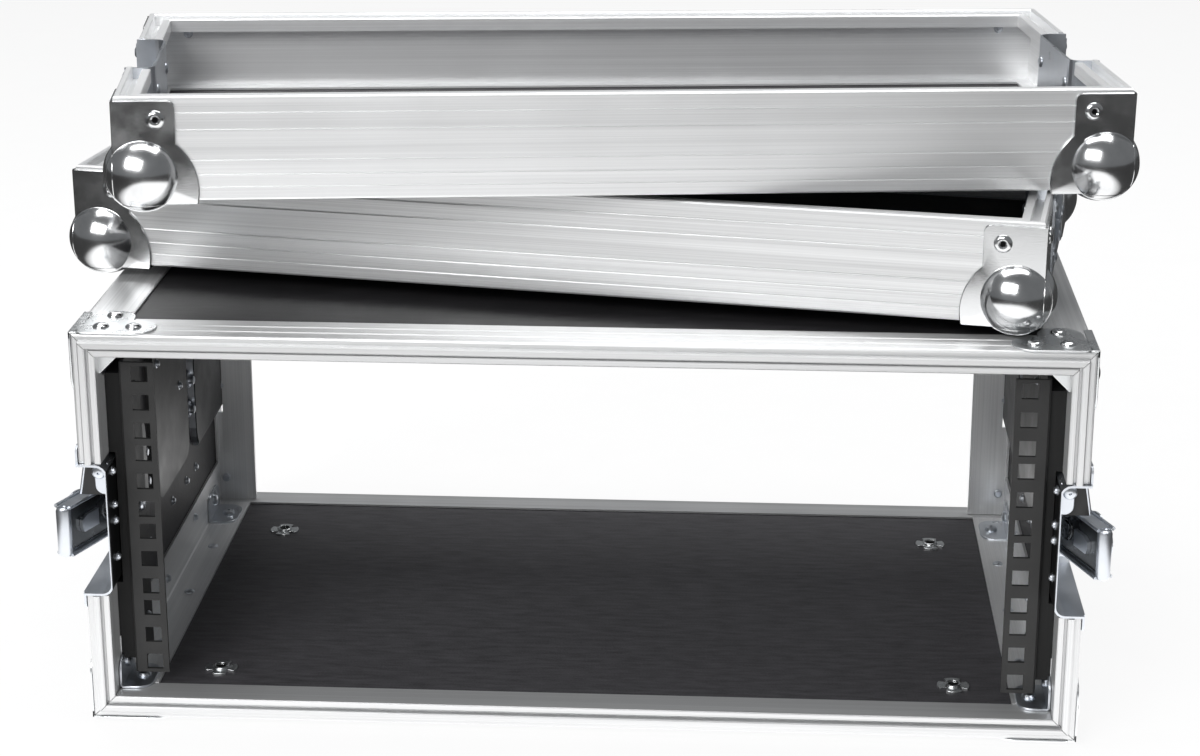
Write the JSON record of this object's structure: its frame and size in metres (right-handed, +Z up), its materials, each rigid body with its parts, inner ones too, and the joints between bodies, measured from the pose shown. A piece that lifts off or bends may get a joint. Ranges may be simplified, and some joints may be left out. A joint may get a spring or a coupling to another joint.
{
  "type": "equipment rack case",
  "caption": "Low rack case in black laminate with aluminium edging, square-hole rack rails, recessed swing-out latches, side handles, and its ball-cornered lids stacked askew on top.",
  "frame": {"origin": "centre of the underside of the bottom panel", "axes": "+X to the right seen from the open front, along the case's width; +Z up; the open front with the rack rails faces -Y"},
  "size_m": [0.5798, 0.3321, 0.342],
  "materials": {
    "aluminium": "satin anodised extrusion with fine lines",
    "laminate": "black laminate with a faint grain",
    "rail_black": "black powder coat",
    "batten": "black painted",
    "zinc": "bright bluish zinc plate",
    "chrome": "polished chrome plate",
    "handle_black": "black powder coat"
  },
  "bodies": {
    "case": {"panel_bottom": "laminate", "panel_top": "laminate", "panel_left": "laminate", "panel_right": "laminate", "front_rail_bottom": "aluminium", "front_rail_top": "aluminium", "rear_rail_bottom": "aluminium", "rear_rail_top": "aluminium", "front_post_left_lower": "aluminium", "front_post_left_upper": "aluminium", "rear_post_left": "aluminium", "front_post_right_lower": "aluminium", "front_post_right_upper": "aluminium", "rear_post_right": "aluminium", "edge_angle_bottom_left": "aluminium", "edge_angle_bottom_right": "aluminium", "edge_angle_top_left": "aluminium", "edge_angle_top_right": "aluminium", "floor_angle_left": "aluminium", "rack_rail_left": "rail_black", "rail_batten_left": "batten", "handle_pan_left": "handle_black", "floor_angle_right": "aluminium", "rack_rail_right": "rail_black", "rail_batten_right": "batten", "handle_pan_right": "handle_black", "latch_front_left_dish": "zinc", "latch_front_right_dish": "zinc", "latch_rear_left_dish": "zinc", "latch_rear_right_dish": "zinc"},
    "lid_lower": {"lid_lower_wall": "aluminium", "lid_lower_panel": "laminate", "lid_lower_catch_left": "zinc", "lid_lower_catch_right": "zinc", "lid_lower_ball_front_left": "chrome", "lid_lower_ball_front_right": "chrome", "lid_lower_ball_rear_left": "chrome", "lid_lower_ball_rear_right": "chrome"},
    "lid_upper": {"lid_upper_wall": "aluminium", "lid_upper_panel": "laminate", "lid_upper_catch_left": "zinc", "lid_upper_catch_right": "zinc", "lid_upper_ball_front_left": "chrome", "lid_upper_ball_front_right": "chrome", "lid_upper_ball_rear_left": "chrome", "lid_upper_ball_rear_right": "chrome"},
    "handle_left": {"handle_bail_left": "handle_black"},
    "handle_right": {"handle_bail_right": "handle_black"},
    "latch_front_left_arm": {"latch_front_left_arm": "zinc"},
    "latch_front_left_spindle": {"latch_front_left_spindle": "zinc"},
    "latch_front_left_wing": {"latch_front_left_wing": "zinc"},
    "latch_front_right_arm": {"latch_front_right_arm": "zinc"},
    "latch_front_right_spindle": {"latch_front_right_spindle": "zinc"},
    "latch_front_right_wing": {"latch_front_right_wing": "zinc"},
    "latch_rear_left_arm": {"latch_rear_left_arm": "zinc"},
    "latch_rear_left_spindle": {"latch_rear_left_spindle": "zinc"},
    "latch_rear_left_wing": {"latch_rear_left_wing": "zinc"},
    "latch_rear_right_arm": {"latch_rear_right_arm": "zinc"},
    "latch_rear_right_spindle": {"latch_rear_right_spindle": "zinc"},
    "latch_rear_right_wing": {"latch_rear_right_wing": "zinc"}
  },
  "joints": [
    {"name": "lid_lower_lift", "type": "slide", "parent": "case", "child": "lid_lower", "axis": [0, 0, 1], "range_m": [0, 0.25]},
    {"name": "lid_upper_lift", "type": "slide", "parent": "lid_lower", "child": "lid_upper", "axis": [0, 0, 1], "range_m": [0, 0.2]},
    {"name": "handle_left_hinge", "type": "hinge", "parent": "case", "child": "handle_left", "pos_m": [-0.2554, 0, 0.156], "axis": [0, 1, 0], "range_deg": [0, 90]},
    {"name": "handle_right_hinge", "type": "hinge", "parent": "case", "child": "handle_right", "pos_m": [0.2554, 0, 0.156], "axis": [0, -1, 0], "range_deg": [0, 90]},
    {"name": "latch_front_left_arm_hinge", "type": "hinge", "parent": "case", "child": "latch_front_left_arm", "pos_m": [-0.2542, -0.107, 0.1072], "axis": [0, 0, -1], "range_deg": [-21.5, 38.5]},
    {"name": "latch_front_left_spindle_turn", "type": "hinge", "parent": "latch_front_left_arm", "child": "latch_front_left_spindle", "pos_m": [-0.26483, -0.13398, 0.1072], "axis": [-0.9304, 0.3665, 0], "range_deg": [0, 180]},
    {"name": "latch_front_left_wing_fold", "type": "hinge", "parent": "latch_front_left_spindle", "child": "latch_front_left_wing", "pos_m": [-0.27348, -0.13057, 0.1072], "axis": [0, 0, -1], "range_deg": [0, 90]},
    {"name": "latch_front_right_arm_hinge", "type": "hinge", "parent": "case", "child": "latch_front_right_arm", "pos_m": [0.2542, -0.107, 0.1072], "axis": [0, 0, 1], "range_deg": [-21.5, 38.5]},
    {"name": "latch_front_right_spindle_turn", "type": "hinge", "parent": "latch_front_right_arm", "child": "latch_front_right_spindle", "pos_m": [0.26483, -0.13398, 0.1072], "axis": [0.9304, 0.3665, 0], "range_deg": [0, 180]},
    {"name": "latch_front_right_wing_fold", "type": "hinge", "parent": "latch_front_right_spindle", "child": "latch_front_right_wing", "pos_m": [0.27348, -0.13057, 0.1072], "axis": [0, 0, 1], "range_deg": [0, 90]},
    {"name": "latch_rear_left_arm_hinge", "type": "hinge", "parent": "case", "child": "latch_rear_left_arm", "pos_m": [-0.2542, 0.107, 0.1072], "axis": [0, 0, 1], "range_deg": [-21.5, 38.5]},
    {"name": "latch_rear_left_spindle_turn", "type": "hinge", "parent": "latch_rear_left_arm", "child": "latch_rear_left_spindle", "pos_m": [-0.26483, 0.13398, 0.1072], "axis": [-0.9304, -0.3665, 0], "range_deg": [0, 180]},
    {"name": "latch_rear_left_wing_fold", "type": "hinge", "parent": "latch_rear_left_spindle", "child": "latch_rear_left_wing", "pos_m": [-0.27348, 0.13057, 0.1072], "axis": [0, 0, 1], "range_deg": [0, 90]},
    {"name": "latch_rear_right_arm_hinge", "type": "hinge", "parent": "case", "child": "latch_rear_right_arm", "pos_m": [0.2542, 0.107, 0.1072], "axis": [0, 0, -1], "range_deg": [-21.5, 38.5]},
    {"name": "latch_rear_right_spindle_turn", "type": "hinge", "parent": "latch_rear_right_arm", "child": "latch_rear_right_spindle", "pos_m": [0.26483, 0.13398, 0.1072], "axis": [0.9304, -0.3665, 0], "range_deg": [0, 180]},
    {"name": "latch_rear_right_wing_fold", "type": "hinge", "parent": "latch_rear_right_spindle", "child": "latch_rear_right_wing", "pos_m": [0.27348, 0.13057, 0.1072], "axis": [0, 0, -1], "range_deg": [0, 90]}
  ]
}
